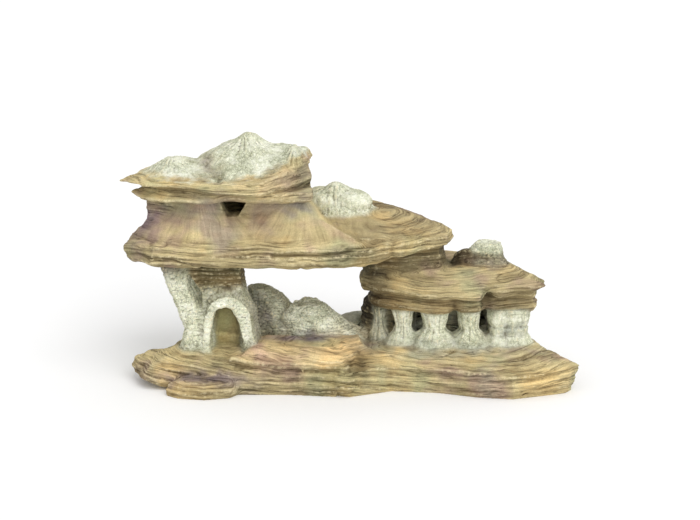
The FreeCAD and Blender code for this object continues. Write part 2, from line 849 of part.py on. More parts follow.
def make_cave_block():
    body = rock(
        "cave_block",
        "cave",
        [
            ("ledge_top", CAVE_FOOT),
            ("facet_top", CAVE_FACET),
            ("cave_top", CAVE_TOP),
        ],
    )
    add_sockets(body, "cave", "ledge_top", "ledge")
    chamber = body.newObject("PartDesign::Pocket", "Chamber")
    sketch = new_sketch(body, "XY_Plane", mix(cave_top=1))
    corners = []
    for x, y in BOULDER:
        across = mix(chamber_x=1, cave_mid_x=-1, chamber_length=x / 200)
        along = mix(chamber_y=1, cave_mid_y=-1, chamber_width=y / 200)
        corners.append((across, along))
    polygon(sketch, corners)
    chamber.Profile = sketch
    chamber.setExpression("Length", "Sizes.chamber_depth")
    mouth = body.newObject("PartDesign::Pocket", "Mouth")
    sketch = new_sketch(body, "XZ_Plane", mix(mouth_front=-1, cave_mid_y=1))
    corners = []
    for x, z in MOUTH:
        across = mix(mouth_x=1, cave_mid_x=-1, mouth_width=x / 200)
        corners.append((across, mix(cave_top=1, mouth_depth=z / 100)))
    polygon(sketch, corners)
    mouth.Profile = sketch
    mouth.setExpression("Length", mix(chamber_y=1, mouth_front=-1)[1])
    add_pegs(body, "cave", "cave_top", "cave")
    keep("cave_block", body)


def make_shelf():
    body = rock(
        "ledge_shelf",
        "shelf",
        [
            ("ledge_top", SHELF_FOOT),
            ("shelf_crest", SHELF_CREST),
            ("shelf_ridge", SHELF_RIDGE),
        ],
    )
    add_sockets(body, "shelf", "ledge_top", "ledge_right")
    cut_by("ledge_shelf", body, CASTINGS["cave_block"])


def make_dome():
    body = rock(
        "dome_rock",
        "dome",
        [
            (134, BOULDER, (0.96, 0.96)),
            (143, BOULDER, (0.88, 0.88)),
            (152, BOULDER, (0.62, 0.62), (-3, 0)),
            (160, BOULDER, (0.36, 0.36), (-5, 0)),
            (166, BOULDER, (0.1, 0.1), (-9, 0)),
        ],
    )
    cut_by("dome_rock", body, CASTINGS["cave_block"], CASTINGS["ledge_shelf"])


def make_caps():
    lower = rock(
        "lower_cap",
        "lower_cap",
        [
            ("cave_top", LOWER_CAP, (0.93, 0.93)),
            ("lower_cap_lip", LOWER_CAP),
            ("lower_cap_top", LOWER_CAP_TOP),
        ],
    )
    add_sockets(lower, "lower_cap", "cave_top", "cave")
    add_pegs(lower, "lower_cap", "lower_cap_top", "lower_cap")
    keep("lower_cap", lower)
    upper = rock(
        "upper_cap",
        "upper_cap",
        [
            ("lower_cap_top", UPPER_CAP_FOOT),
            ("upper_cap_lip", UPPER_CAP),
            ("upper_cap_top", UPPER_CAP_TOP),
        ],
    )
    add_sockets(upper, "upper_cap", "lower_cap_top", "lower_cap")
    for joint in ("upper_cap", "upper_cap_left"):
        add_pegs(upper, "upper_cap", "upper_cap_top", joint)
    keep("upper_cap", upper)


def make_mounds():
    main = rock(
        "cap_mound_main",
        "main_mound",
        [
            ("upper_cap_top", MOUND_FOOT),
            (190, MOUND_MIDDLE),
            (202, MOUND_HIGH),
            ("summit", MOUND_SUMMIT),
        ],
    )
    add_sockets(main, "main_mound", "upper_cap_top", "upper_cap")
    keep("cap_mound_main", main)
    left = rock(
        "cap_mound_left",
        "left_mound",
        [
            ("upper_cap_top", LEFT_MOUND_FOOT),
            (186, LEFT_MOUND_MIDDLE),
            (192, LEFT_MOUND_TOP),
        ],
    )
    add_sockets(left, "left_mound", "upper_cap_top", "upper_cap_left")
    cut_by("cap_mound_left", left, CASTINGS["cap_mound_main"])
    lobe = rock(
        "cap_mound_right",
        "right_lobe",
        [
            ("upper_cap_top", BOULDER),
            (190, BOULDER, (0.86, 0.8), (0, 0)),
            (200, BOULDER, (0.44, 0.4), (2, 0)),
        ],
    )
    cut_by("cap_mound_right", lobe, CASTINGS["cap_mound_main"])


def build():
    fill_sheet()
    make_base_rock()
    make_toe_rock()
    make_front_step()
    make_base_slab()
    make_arch_column()
    make_left_pillar()
    make_arch_surround()
    make_grotto_back_wall()
    make_rear_pillar()
    make_buttress()
    make_crater_boulder()
    make_core()
    for column in COLUMNS:
        make_round_column(column)
    make_end_pier()
    make_flank_rock()
    make_rear_boulder()
    make_frieze()
    make_right_cap()
    make_knob()
    make_knob_pebble()
    make_long_ledge()
    make_spacer()
    make_cave_block()
    make_shelf()
    make_dome()
    make_caps()
    make_mounds()
    DOC.recompute()


def write_castings():
    """Checks every object and writes one STEP file for each casting."""
    broken = [o.Label for o in DOC.Objects if "Invalid" in o.State or "Error" in o.State]
    if broken:
        raise RuntimeError(f"these objects did not compute: {broken}")
    os.makedirs("parts", exist_ok=True)
    unsound = []
    for label, casting in CASTINGS.items():
        shape = casting.Shape
        if shape.isNull() or not shape.isValid() or len(shape.Solids) != 1:
            unsound.append((label, [round(solid.Volume, 1) for solid in shape.Solids]))
        shape.exportStep(f"parts/{label}.step")
        print(f"{label}: {shape.Volume / 1000:.1f} cm3")
    if unsound:
        raise RuntimeError(f"these castings are not one sound solid: {unsound}")


build()
write_castings()
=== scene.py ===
import math

import bmesh
import bpy
import numpy as np
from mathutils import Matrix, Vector
from mathutils.bvhtree import BVHTree


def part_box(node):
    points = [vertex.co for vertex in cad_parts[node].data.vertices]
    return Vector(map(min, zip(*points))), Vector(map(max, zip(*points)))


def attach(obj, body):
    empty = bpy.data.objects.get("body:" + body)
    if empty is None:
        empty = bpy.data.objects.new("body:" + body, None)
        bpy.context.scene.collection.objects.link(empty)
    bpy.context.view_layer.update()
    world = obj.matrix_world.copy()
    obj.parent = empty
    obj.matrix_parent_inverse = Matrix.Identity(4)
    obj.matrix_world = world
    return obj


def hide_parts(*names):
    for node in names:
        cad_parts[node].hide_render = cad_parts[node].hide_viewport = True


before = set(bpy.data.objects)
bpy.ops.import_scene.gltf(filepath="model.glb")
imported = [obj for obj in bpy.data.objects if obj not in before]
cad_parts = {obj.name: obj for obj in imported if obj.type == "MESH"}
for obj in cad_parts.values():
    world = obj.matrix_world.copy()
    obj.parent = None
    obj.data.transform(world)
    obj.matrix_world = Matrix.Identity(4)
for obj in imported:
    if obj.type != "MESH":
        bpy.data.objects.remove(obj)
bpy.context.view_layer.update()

# Work is in millimetres in the frame's own axes: x to the right, y to the back, z up.
MM = 0.001
VOXEL = 1.05

# How far a casting's cut edge is turned in towards its neighbour.
SKIRT = 2.5

# The cave block's two facets meet at this share of its length, and the lines on them fan out from this
# share of its height.
FAN_SPLIT = 0.52
FAN_TOP = 1.28

# How much distances count on each axis when a groove is drawn.
STROKE_REACH = (1.0, 0.25, 1.0)

# How far the caps rise, and how far the glaze reaches down, at the caps' right-hand end.
CAP_RISE = 8
GLAZE_DROP = 6

# How far the patches' outlines wander, how much glaze they cover, and how much darker upright faces are
# painted: a painted shade, as if the light fell from above.
RAGGED = 5
PATCH_COVER = 0.8
UPRIGHT_PAINTED_SHADE = 0.26

# The height that the camera looks at and its distance in metres, its tilt in degrees, and its lens and
# sensor width in millimetres.
LOOK_HEIGHT = 0.0915
CAMERA_DISTANCE = 1.4
CAMERA_TILT = 15
LENS = 82.5
SENSOR_WIDTH = 36

RANDOM = np.random.default_rng(11)
PERM = np.tile(RANDOM.permutation(256), 2)
GRADIENTS = RANDOM.normal(size=(256, 3))
GRADIENTS /= np.linalg.norm(GRADIENTS, axis=1)[:, None]


# ---------------------------------------------------------------- places

def corners(name):
    """A casting's lowest and highest corners in millimetres."""
    low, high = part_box(name)
    return np.array(low) / MM, np.array(high) / MM


def spot(name, shares):
    """The place at the given shares of a casting's box: 0 at its low side and 1 at its high side."""
    low, high = corners(name)
    return low + np.array(shares) * (high - low)


def shares_of(name, points):
    """The shares of a casting's box at which the points lie."""
    low, high = corners(name)
    return (points - low) / (high - low)


# ---------------------------------------------------------------- noise fields

def lattice_hash(i, j, k):
    """A repeatable number from 0 to 255 for each whole-number lattice point."""
    return PERM[PERM[PERM[i & 255] + (j & 255)] + (k & 255)]


def noise(points, seed=0):
    """Smooth noise of about -1 to 1, with features about one unit across."""
    points = points + seed * 13.73
    cell = np.floor(points).astype(int)
    part = points - cell
    fade = part * part * part * (part * (part * 6 - 15) + 10)
    total = np.zeros(len(points))
    for dx in (0, 1):
        wx = fade[:, 0] if dx else 1 - fade[:, 0]
        for dy in (0, 1):
            wy = fade[:, 1] if dy else 1 - fade[:, 1]
            for dz in (0, 1):
                wz = fade[:, 2] if dz else 1 - fade[:, 2]
                slope = GRADIENTS[lattice_hash(cell[:, 0] + dx, cell[:, 1] + dy, cell[:, 2] + dz)]
                total += wx * wy * wz * np.einsum("ij,ij->i", slope, part - (dx, dy, dz))
    return 1.6 * total


def layered_noise(points, octaves, seed=0):
    """Several sizes of noise added together, each half as large and half as strong."""
    total = np.zeros(len(points))
    for octave in range(octaves):
        total += noise(points * 2.0 ** octave, seed + octave) * 0.5 ** octave
    return total


def cell_edges(points, seed=0):
    """How far each point is from the border between scattered cells, one cell to a unit."""
    cell = np.floor(points).astype(int)
    nearest = np.full(len(points), 9.0)
    second = np.full(len(points), 9.0)
    for dx in (-1, 0, 1):
        for dy in (-1, 0, 1):
            for dz in (-1, 0, 1):
                near = cell + (dx, dy, dz)
                code = lattice_hash(near[:, 0] + seed, near[:, 1], near[:, 2])
                centre = near + 0.5 + 0.42 * GRADIENTS[code]
                distance = np.linalg.norm(points - centre, axis=1)
                second = np.minimum(second, np.maximum(nearest, distance))
                nearest = np.minimum(nearest, distance)
    return second - nearest


def ramp(value, start, end):
    """0 at start, 1 at end, with soft ends; start may be the larger."""
    t = np.clip((value - start) / (end - start), 0, 1)
    return t * t * (3 - 2 * t)


def blob(points, centre, radii):
    """1 at a centre, falling softly to 0 about two radii away."""
    return np.exp(-(((points - centre) / radii) ** 2).sum(axis=1))


def stroke(points, path, radius):
    """1 along a line through the given places, falling softly to 0 about two radii away. Distances to
    the front or back count for less, so the line need not lie exactly on the surface."""
    nearest = np.full(len(points), 1e9)
    points = points * STROKE_REACH
    path = path * STROKE_REACH
    for start, end in zip(path[:-1], path[1:]):
        run = end - start
        along = np.clip((points - start) @ run / (run @ run), 0, 1)
        nearest = np.minimum(nearest, np.linalg.norm(points - start - along[:, None] * run, axis=1))
    return np.exp(-(nearest / radius) ** 2)


# ---------------------------------------------------------------- the castings' looks

def linear(red, green, blue):
    """A screen colour from 0 to 255 as the linear values that shaders take."""
    def one(value):
        value /= 255
        return value / 12.92 if value <= 0.04045 else ((value + 0.055) / 1.055) ** 2.4
    return one(red), one(green), one(blue), 1.0


COATS = {
    "sand": linear(200, 183, 136),
    "ochre": linear(188, 172, 128),
    "shelf": linear(170, 154, 114),
    "honey": linear(216, 194, 146),
    "umber": linear(128, 116, 84),
    "moss": linear(164, 164, 134),
    # A dark coat used as painted shade.
    "shade": linear(66, 58, 42),
    "plaster": linear(180, 166, 116),
    "mauve": linear(156, 134, 122),
    "plum": linear(128, 114, 124),
    "orange": linear(222, 196, 146),
    "slate": linear(140, 152, 156),
    "glaze": linear(212, 214, 190),
    "chalk": linear(250, 251, 230),
}

# Washes that shift the coats' hue here and there.
MAUVE_TINT = (0.78, 0.68, 0.92, 1.0)
ORANGE_TINT = (1.2, 1.08, 0.94, 1.0)
MOSS_TINT = (0.82, 0.94, 0.98, 1.0)


def look(slot, coat, kind, **more):
    """A casting's record slot, coat of paint, carved pattern and anything that it does differently."""
    return {"slot": slot, "coat": coat, "kind": kind, **more}


# Each casting's record slot, coat of paint and carved pattern, and the heights between which its coat
# gives way to the pale glaze. Heights and peaks are shares of the casting's own box.
STYLES = {
    "base_rock_left": look("sandstone_base", "ochre", "strata", tilt=0.1, carve=1.2),
    "base_slab_right": look("sandstone_base", "sand", "strata"),
    "toe_rock": look("sandstone_base", "ochre", "strata"),
    "front_step_rock": look("sandstone_base", "honey", "strata", tilt=0.08, rings=0.06),
    "long_ledge": look("sandstone_ledge", "ochre", "strata", rings=0.15),
    "ledge_shelf": look("sandstone_ledge", "shelf", "strata", rings=0.3, carve=0.6),
    "cave_block": look("sandstone_ledge", "sand", "fans"),
    "right_cap": look("sandstone_ledge", "ochre", "strata", rings=0.35, carve=0.7),
    "frieze": look("sandstone_ledge", "shelf", "strata", carve=0.8),
    "ledge_spacer": look("sandstone_ledge", "umber", "strata"),
    "lower_cap": look("sandstone_caps", "sand", "strata", rings=0.15, carve=0.7),
    "upper_cap": look("sandstone_caps", "sand", "strata", rings=0.15, carve=0.7, pale=(0.6, 0.95)),
    "cap_mound_main": look("pale_mounds", "sand", "mound", pale=(-0.1, 0.15), peak=(0.45, 0.5)),
    "cap_mound_left": look("pale_mounds", "sand", "mound", pale=(-0.25, 0.35)),
    "cap_mound_right": look("pale_mounds", "sand", "mound", pale=(0.0, 0.4)),
    "dome_rock": look("pale_mounds", "shelf", "mound", pale=(-0.4, -0.1), peak=(0.3, 0.5)),
    "knob_stump": look("pale_mounds", "moss", "pillar", pale=(0.25, 0.75)),
    "left_pillar": look("pale_pillars", "moss", "pillar", pale=(0.9, 0.7)),
    "arch_column": look("pale_pillars", "umber", "pillar", pale=(0.72, 0.55), ribs_from=0.68),
    "arch_surround": look("pale_pillars", "moss", "pillar", pale=(1.4, 1.1)),
    "rear_pillar": look("pale_pillars", "umber", "pillar", pale=(0.8, 0.5), ribs_from=0.68),
    "crater_boulder": look("pale_pillars", "chalk", "pillar", pale=(-0.5, 0.9)),
    "buttress_rock": look("shadowed_rock", "moss", "pillar", pale=(-0.6, 1.5)),
    "rear_boulder": look("shadowed_rock", "moss", "strata", pale=(-1.0, 2.0)),
    # The flank rock's dark 'shade' coat is painted shade on a side turned from the light.
    "flank_rock": look("shadowed_rock", "shade", "strata"),
    "colonnade_core": look("shadowed_rock", "moss", "column"),
    # The pebble's dark 'shade' coat is painted shade.
    "knob_pebble": look("shadowed_rock", "shade", "strata"),
    "grotto_back_wall": look("grotto_plaster", "plaster", "wall"),
}
for row, count in (("front", 5), ("rear", 3)):
    for number in range(1, count + 1):
        STYLES[f"column_{row}_{number}"] = look("pale_columns", "moss", "column", pale=(1.2, 0.95))

# Heights that no point reaches, for castings without glaze or ribs.
NEVER = (9, 10)

# Castings whose joints stay sharp.
CRISP = ("lower_cap", "knob_pebble")

# Castings whose cuts stay open: round the doorway and the cave a flat end would block the hollow, and on
# the sloping shelf and the dome it would stand out of the surface.
OPEN_CUTS = ("arch_column", "arch_surround", "grotto_back_wall", "cave_block", "ledge_shelf", "dome_rock")

# Patches brushed over the coats: casting, centre as shares of its box, radii, coat and strength. Those
# marked below as painted shade darken places where shade falls.
PATCHES = (
    # Painted shade: the next four patches darken the cave block under the caps, at its left end and in the
    # valley between its facets.
    ("cave_block", (0.15, 0.1, 0.65), (16, 26, 9), "plum", 0.6),
    ("cave_block", (0.05, 0.4, 0.4), (13, 44, 14), "plum", 0.75),
    ("cave_block", (0.7, 0.1, 0.75), (36, 24, 6), "plum", 0.75),
    ("cave_block", (0.55, 0.1, 0.5), (12, 24, 12), "mauve", 0.9),
    ("cave_block", (0.35, 0.15, 0.75), (12, 20, 7), "moss", 0.8),
    # Painted shade inside the cave mouth.
    ("cave_block", (0.42, 0.35, 0.7), (12, 24, 9), "shade", 0.95),
    ("cave_block", (0.7, 0.05, 0.35), (30, 20, 14), "shelf", 0.6),
    # Painted shade in the crease between the mounds: the next two patches.
    ("cap_mound_main", (0.12, 0.25, 0.4), (8, 32, 7), "plum", 0.9),
    ("cap_mound_main", (0.2, 0.2, 0.2), (9, 24, 5), "shade", 0.5),
    ("upper_cap", (0.9, 0.2, 0.4), (24, 26, 7), "mauve", 0.6),
    ("upper_cap", (0.7, 0.0, 0.35), (18, 16, 5), "orange", 0.7),
    ("long_ledge", (0.75, 0.0, 0.55), (26, 16, 6), "umber", 0.5),
    ("dome_rock", (0.0, 0.4, 0.4), (7, 20, 12), "moss", 0.8),
    # Partly the brown wash on the pillar's top and partly painted shade under the ledge.
    ("left_pillar", (0.25, 0.5, 0.95), (22, 20, 9), "umber", 0.65),
    # Painted shade on the arch's top, under the ledge.
    ("arch_column", (0.55, 0.2, 0.85), (30, 24, 10), "shade", 0.15),
    ("arch_column", (0.95, 0.4, 0.35), (8, 30, 28), "umber", 0.6),
    ("arch_column", (0.3, 0.1, 0.55), (7, 14, 13), "umber", 0.6),
    ("buttress_rock", (0.35, 0.05, 0.45), (9, 18, 14), "plum", 0.6),
    # Painted shade on the buttress's side turned from the light.
    ("buttress_rock", (0.1, 0.3, 0.75), (8, 22, 18), "shade", 0.6),
    ("buttress_rock", (0.6, 0.35, 0.75), (8, 24, 14), "glaze", 0.85),
    ("crater_boulder", (0.9, 0.35, 0.15), (22, 16, 8), "shelf", 0.85),
    ("rear_boulder", (0.5, 0.4, 0.5), (22, 26, 12), "glaze", 0.5),
    ("base_rock_left", (0.2, 0.1, 0.4), (22, 14, 6), "plum", 0.75),
    ("base_rock_left", (0.35, 0.05, 0.45), (34, 12, 6), "plum", 0.8),
    ("base_rock_left", (0.7, 0.0, 0.45), (30, 12, 11), "umber", 0.45),
    # Painted shade in the fold where the base slab meets the left base rock.
    ("base_slab_right", (0.05, 0.15, 0.75), (8, 26, 16), "umber", 0.9),
    ("front_step_rock", (0.2, 0.15, 0.95), (34, 16, 5), "orange", 0.8),
    ("front_step_rock", (0.65, 0.2, 0.9), (26, 18, 5), "orange", 0.8),
    # Painted shade behind the front step.
    ("front_step_rock", (0.5, 0.9, 1.1), (36, 9, 6), "plum", 0.95),
    # Painted shade: the four frieze patches below darken the flank, the frieze's left end and its recesses.
    ("frieze", (0.05, 0.45, -0.1), (18, 30, 22), "shade", 0.8),
    ("frieze", (0.05, 0.05, 0.7), (18, 22, 10), "shade", 0.6),
    ("frieze", (0.7, 0.0, 0.5), (9, 14, 10), "shade", 0.7),
    ("frieze", (0.5, 0.0, 0.3), (6, 14, 6), "shade", 0.6),
    # Painted shade on the right cap's left end, under the ledge: the next two patches.
    ("right_cap", (0.05, 0.2, 0.6), (18, 28, 12), "shade", 0.8),
    ("right_cap", (0.15, 0.25, 0.9), (20, 24, 7), "umber", 0.8),
    ("right_cap", (0.7, 0.45, 0.9), (20, 20, 5), "plum", 0.5),
    ("right_cap", (0.7, 0.5, 1.0), (22, 24, 5), "umber", 0.6),
    # Painted shade on the pebble.
    ("knob_pebble", (0.5, 0.35, 0.6), (9, 14, 8), "shade", 0.9),
    # Painted shade in the gaps between the columns: the umber and shade patches below, but not the slate
    # ones.
    ("column_front_2", (0.0, 0.75, 0.45), (5, 12, 12), "umber", 0.8),
    ("column_front_3", (0.05, 0.65, 0.5), (4, 14, 13), "shade", 0.8),
    ("column_front_3", (0.75, 0.4, 0.1), (80, 26, 6), "slate", 0.6),
    ("column_front_4", (0.0, 0.5, 0.45), (6, 12, 10), "umber", 0.9),
    ("column_front_5", (0.0, 0.35, 0.45), (6, 12, 10), "umber", 0.9),
    ("column_front_5", (0.6, 0.0, 0.5), (16, 14, 7), "slate", 0.8),
)

# Rounded swellings moulded into a casting: its name, the centre as shares of its box, and the radii.
LUMPS = (
    ("base_rock_left", (0.88, 0.06, 0.4), (12, 13, 15)),
    ("base_rock_left", (0.1, 0.3, 0.5), (24, 17, 10)),
    ("grotto_back_wall", (0.5, 0.17, 0.45), (17, 9, 34)),
    ("crater_boulder", (0.35, 0.43, 0.69), (13, 12, 13)),
    ("crater_boulder", (0.11, 0.41, 0.55), (8, 9, 11)),
    ("dome_rock", (0.12, 0.43, 0.41), (14, 14, 13)),
    ("dome_rock", (0.30, 0.39, 0.70), (9, 9, 9)),
    ("dome_rock", (0.58, 0.39, 0.38), (17, 15, 12)),
    ("column_front_1", (0.5, 0.5, 0.08), (9, 8, 8)),
    ("column_front_2", (0.5, 0.5, 0.08), (14, 12, 11)),
    ("column_front_3", (0.5, 0.5, 0.08), (17, 15, 14)),
    ("column_front_4", (0.5, 0.5, 0.08), (17, 14, 14)),
    ("column_front_5", (0.45, 0.5, 0.08), (23, 16, 12)),
    ("knob_pebble", (0.87, 0.24, 0.5), (8, 7, 8)),
)

# Sculpted grooves: casting, path as shares of its box, radius and depth.
GROOVES = (
    ("cap_mound_main", ((0.0, 0.25, 0.45), (0.1, 0.2, 0.35), (0.25, 0.1, 0.15)), 4.5, 5.5),
    ("long_ledge", ((0.45, 0.0, 0.5), (0.55, 0.0, 0.5), (0.65, 0.0, 0.6), (0.73, 0.05, 0.8),
                    (0.8, 0.1, 1.0)), 2.0, 3.2),
    ("long_ledge", ((0.81, 0.1, 1.0), (0.81, 0.1, 0.25)), 3.5, 3.0),
    ("cave_block", ((0.0, 0.25, 0.65), (0.1, 0.1, 0.7), (0.2, 0.1, 0.65)), 1.6, 1.8),
    ("cave_block", ((0.0, 0.25, 0.45), (0.05, 0.1, 0.45), (0.1, 0.1, 0.4)), 1.6, 2.0),
    ("front_step_rock", ((0.05, 0.1, 0.2), (0.35, 0.0, 0.0), (0.65, 0.0, -0.1), (0.85, 0.1, 0.1)), 2.5, 2.5),
    ("base_slab_right", ((0.05, 0.1, 0.65), (0.1, 0.25, 1.1)), 5.0, 2.0),
    ("frieze", ((0.7, 0.0, -0.1), (0.7, 0.0, 1.1)), 4.5, 5.0),
    ("frieze", ((0.5, 0.0, 0.0), (0.5, 0.0, 0.5)), 4.5, 3.0),
    ("arch_surround", ((-0.05, 1.0, 0.3), (0.0, 1.0, 0.6), (0.15, 1.0, 0.9), (0.45, 1.0, 1.1),
                       (0.75, 1.0, 0.95), (0.95, 1.0, 0.65), (1.05, 1.0, 0.3)), 3.0, 2.5),
)

# Gentle pulls on the whole surface: casting, centre as shares of its box, radii and shift.
PULLS = (
    ("long_ledge", (0.5, 0.1, -0.1), (40, 30, 9), (0, 0, -3)),
    ("lower_cap", (0.58, 0.05, 0.3), (14, 20, 6), (0, 0, 3.5)),
    ("lower_cap", (1.0, 0.4, 0.1), (9, 34, 9), (-6, 0, 0)),
    ("upper_cap", (0.25, 0.15, 0.2), (46, 36, 5), (0, 0, 5.5)),
    ("upper_cap", (1.0, 0.35, 0.2), (9, 36, 8), (7, 0, 0)),
    ("cave_block", (0.53, 0.05, 0.4), (9, 20, 14), (0, 5, 0)),
    ("cave_block", (0.05, 0.35, 0.75), (12, 46, 8), (-6, 0, 0)),
    ("cap_mound_main", (0.47, 0.4, 1.05), (8, 22, 10), (0, 0, 3.5)),
    ("cap_mound_main", (0.67, 0.4, 0.8), (8, 26, 9), (0, 0, -3)),
    ("cap_mound_right", (0.4, 0.55, 1.1), (9, 22, 8), (0, 0, 2)),
    ("crater_boulder", (0.35, 0.4, 1.0), (8, 8, 6), (0, 0, -5)),
    ("crater_boulder", (0.2, 0.35, 0.9), (4, 14, 7), (0, 0, -4)),
    ("crater_boulder", (0.1, 0.4, 0.9), (7, 12, 8), (0, 0, -5)),
    ("buttress_rock", (0.3, 0.5, 1.0), (16, 22, 10), (-2, 0, -3)),
    ("knob_pebble", (0.1, 0.45, 0.8), (6, 9, 7), (0, 0, -4)),
    ("knob_stump", (0.5, 0.5, 1.05), (7, 8, 5), (0, 0, -3.5)),
    ("arch_surround", (0.15, 0.75, 0.6), (6, 12, 8), (3.5, 0, 0)),
    ("arch_surround", (0.65, 0.75, 0.6), (6, 12, 8), (-3, 0, 0)),
    ("arch_surround", (0.7, 0.5, 0.1), (7, 12, 9), (4, 0, 0)),
    ("base_slab_right", (1.0, 0.3, 0.1), (14, 40, 12), (-7, 0, 0)),
)


# ---------------------------------------------------------------- carved patterns

def carve_strata(place, points, style):
    """Ledges, fine lines, cracks and chips that follow the casting's layers."""
    half = (place["high"] - place["low"]) / 2
    inward = np.hypot(*((points[:, :2] - place["middle"][:2]) / half[:2]).T)
    rings = style.get("rings", 0.25) * min(half[0], half[1]) * (1 - inward)
    layer = points[:, 2] + rings + style.get("tilt", 0) * points[:, 0]
    layer = layer + 1.6 * noise(points / 30, 21) + 0.6 * noise(points / 9, 22)
    wide = np.column_stack((points[:, :2] / 50, layer / 5.5))
    narrow = np.column_stack((points[:, :2] / 26, layer / 2.4))
    ledges = np.tanh(3 * noise(wide, 23))
    lines = noise(narrow, 24)
    split = noise(np.column_stack((points[:, :2] / 70, layer / 10)), 25)
    cracks = np.clip(1 - np.abs(split) / 0.07, 0, 1) * ramp(noise(points / 40, 26), 0.0, 0.4)
    chips = layered_noise(points / 16, 3, 27)
    depth = 0.9 * ledges + 0.55 * lines - 1.3 * cracks + 0.8 * chips
    return depth * style.get("carve", 1.0), layer


def fans(points):
    """A measure across the lines that fan out down the cave block's two facets, and how strong they are."""
    x, y, z = shares_of("cave_block", points).T
    low, high = corners("cave_block")
    length, _, height = high - low
    apex = np.where(x < FAN_SPLIT, 0.28, 0.74)
    spread = np.arctan2((x - apex) * length, (FAN_TOP - z) * height) * 34 + 2 * noise(points / 16, 30)
    share = ramp(x - 0.225 * z, -0.015, 0.055) * ramp(x, 1.1, 1.0)
    return spread, share * ramp(y, 0.5, 0.35) * ramp(z, 0.0, 0.2) * ramp(z, 1.08, 0.87)


def carve_fans(place, points, style):
    """The cave block: fine lines spread down two facets from the points where the caps rest."""
    depth, layer = carve_strata(place, points, style)
    spread, share = fans(points)
    streaks = np.column_stack((spread / 3, points[:, 2] / 40, points[:, 1] / 60))
    ridges = 0.16 * noise(streaks, 31) + 0.08 * noise(streaks * 2, 32)
    return depth * (1 - 0.75 * share) + share * ridges, layer


def carve_mound(place, points, style):
    """Wrinkles that run down from the top of a mound, with small pits between them."""
    peak = place["low"] + np.array((*style.get("peak", (0.5, 0.5)), 0)) * (place["high"] - place["low"])
    away = points[:, :2] - peak[:2]
    radius = np.hypot(away[:, 0], away[:, 1])
    unit = away / np.maximum(radius, 0.5)[:, None]
    warped = radius + 4 * noise(points / 14, 41)
    broad = np.column_stack((unit * 3.2, warped / 30))
    fine = np.column_stack((unit * 9, warped / 9))
    wrinkles = 1 - 2 * np.abs(noise(broad, 42))
    veins = 1 - 2 * np.abs(noise(fine, 43))
    pits = layered_noise(points / 3.4, 2, 44)
    depth = 0.45 * wrinkles + 0.45 * veins + 0.25 * pits + 0.8 * layered_noise(points / 20, 2, 45)
    return depth * style.get("carve", 1.0), points[:, 2] + 2 * noise(points / 12, 46)


def carve_pillar(place, points, style):
    """A crust of small scales, like old brickwork, with rounded ribs across it near the top."""
    layer = points[:, 2] + 1.5 * noise(points / 14, 51)
    scales = cell_edges(np.column_stack((points[:, :2] / 4.6, layer / 2.9)), 52)
    crust = np.clip(scales / 0.28, 0, 1) - 1
    ribs = np.sin(layer * 2 * math.pi / 4.2 + 1.5 * noise(points / 10, 53))
    ribs_from = style.get("ribs_from", NEVER[0])
    rise = (points[:, 2] - place["low"][2]) / (place["high"][2] - place["low"][2])
    ribbed = ramp(rise, ribs_from, ribs_from + 0.1)
    depth = 0.65 * crust * (1 - ribbed) + 0.3 * ribs * ribbed + 0.3 * noise(points / 2.6, 54)
    return depth + 1.0 * layered_noise(points / 15, 2, 55), layer


def carve_column(place, points, style):
    """Fibrous flutes that run up a waisted column, with lumps round its foot and head."""
    away = points[:, :2] - place["middle"][:2]
    radius = np.hypot(away[:, 0], away[:, 1])
    unit = away / np.maximum(radius, 0.5)[:, None]
    shift = place["middle"] / 9
    flutes = noise(np.column_stack((unit * 2.4, points[:, 2] / 22)) + shift, 61)
    fibres = noise(np.column_stack((unit * 6.5, points[:, 2] / 9)) + shift, 62)
    lumps = layered_noise(points / 7, 2, 63)
    return 1.3 * flutes + 0.55 * fibres + 0.5 * lumps, points[:, 2] + 2 * noise(points / 9, 64)


def carve_wall(place, points, style):
    """A plastered wall with one soft step across it."""
    rise = points[:, 2] - place["low"][2] - 0.3 * (place["high"][2] - place["low"][2])
    step = np.tanh((rise - 2 * noise(points / 20, 71)) / 1.2)
    return -1.0 * step + 0.4 * layered_noise(points / 9, 2, 72), 0.2 * points[:, 2]


CARVE = {
    "strata": carve_strata,
    "fans": carve_fans,
    "mound": carve_mound,
    "pillar": carve_pillar,
    "column": carve_column,
    "wall": carve_wall,
}


def bend(points):
    """The slow wander of the whole casting, the caps' rise at their right-hand end, and the pulls."""
    offset = np.empty_like(points)
    offset[:, 0] = 2.0 * noise(points / 48, 1) + 0.7 * noise(points / 17, 4)
    offset[:, 1] = 2.0 * noise(points / 48, 2) + 0.7 * noise(points / 17, 5)
    offset[:, 2] = 1.4 * noise(points / 60, 3) + 0.7 * noise(points / 19, 6)
    offset *= ramp(points[:, 2], 1, 12)[:, None]
    along, _, rise = shares_of("upper_cap", points).T
    offset[:, 2] += CAP_RISE * ramp(along, 0.74, 1.0) * ramp(rise, -0.25, 0.8) * ramp(rise, 2.2, 0.95)
    for name, shares, radii, shift in PULLS:
        offset += blob(points, spot(name, shares), radii)[:, None] * shift
    return offset


# ---------------------------------------------------------------- the carved surface

def rounded_lump(centre, radii):
    """The corners and faces of a closed ball, stretched to the radii."""
    ball = bmesh.new()
    bmesh.ops.create_icosphere(ball, subdivisions=4, radius=1)
    ball.verts.index_update()
    corners = [Vector(centre + radii * np.array(vertex.co)) for vertex in ball.verts]
    faces = [tuple(vertex.index for vertex in face.verts) for face in ball.faces]
    ball.free()
    return corners, faces


